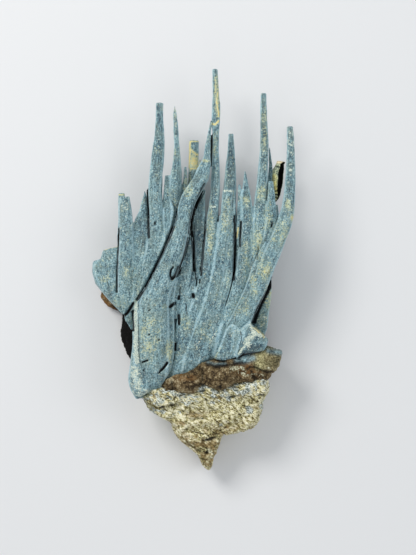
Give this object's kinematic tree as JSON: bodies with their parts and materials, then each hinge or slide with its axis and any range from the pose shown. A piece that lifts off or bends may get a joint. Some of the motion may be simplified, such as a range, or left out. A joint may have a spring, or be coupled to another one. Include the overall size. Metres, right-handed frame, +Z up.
{
  "type": "goethite stalactite mineral specimen",
  "caption": "Slender velvety blue-grey goethite stalactites fanning from a brown crust on a wedge of tan granular rock, lying on its broken flat back.",
  "frame": {"origin": "middle of the specimen's outline on the surface it lies on", "axes": "+Y the way the stalactites grew, from rock to tips; +Z up from the surface, towards the viewer; +X to the viewer's right"},
  "size_m": [0.0308, 0.0604, 0.0132],
  "materials": {
    "goethite_velvet": "velvety matte blue-grey mineral",
    "brown_goethite": "dull to waxy dark brown broken mineral",
    "granular_rock": "rough granular tan rock",
    "ochre_skin": "matte ochre mineral skin"
  },
  "bodies": {
    "root": {"diagonal_stalactite": "goethite_velvet", "curled_flakes": "goethite_velvet", "curved_stalactite": "goethite_velvet", "brown_crust": "brown_goethite", "centre_stalactites": "goethite_velvet", "right_stalactites": "goethite_velvet", "left_stalactites": "goethite_velvet", "left_flake": "goethite_velvet", "hollow_stalactite": "ochre_skin", "rear_left_stalactites": "goethite_velvet", "rear_right_stalactites": "goethite_velvet", "matrix": "granular_rock"}
  },
  "joints": []
}
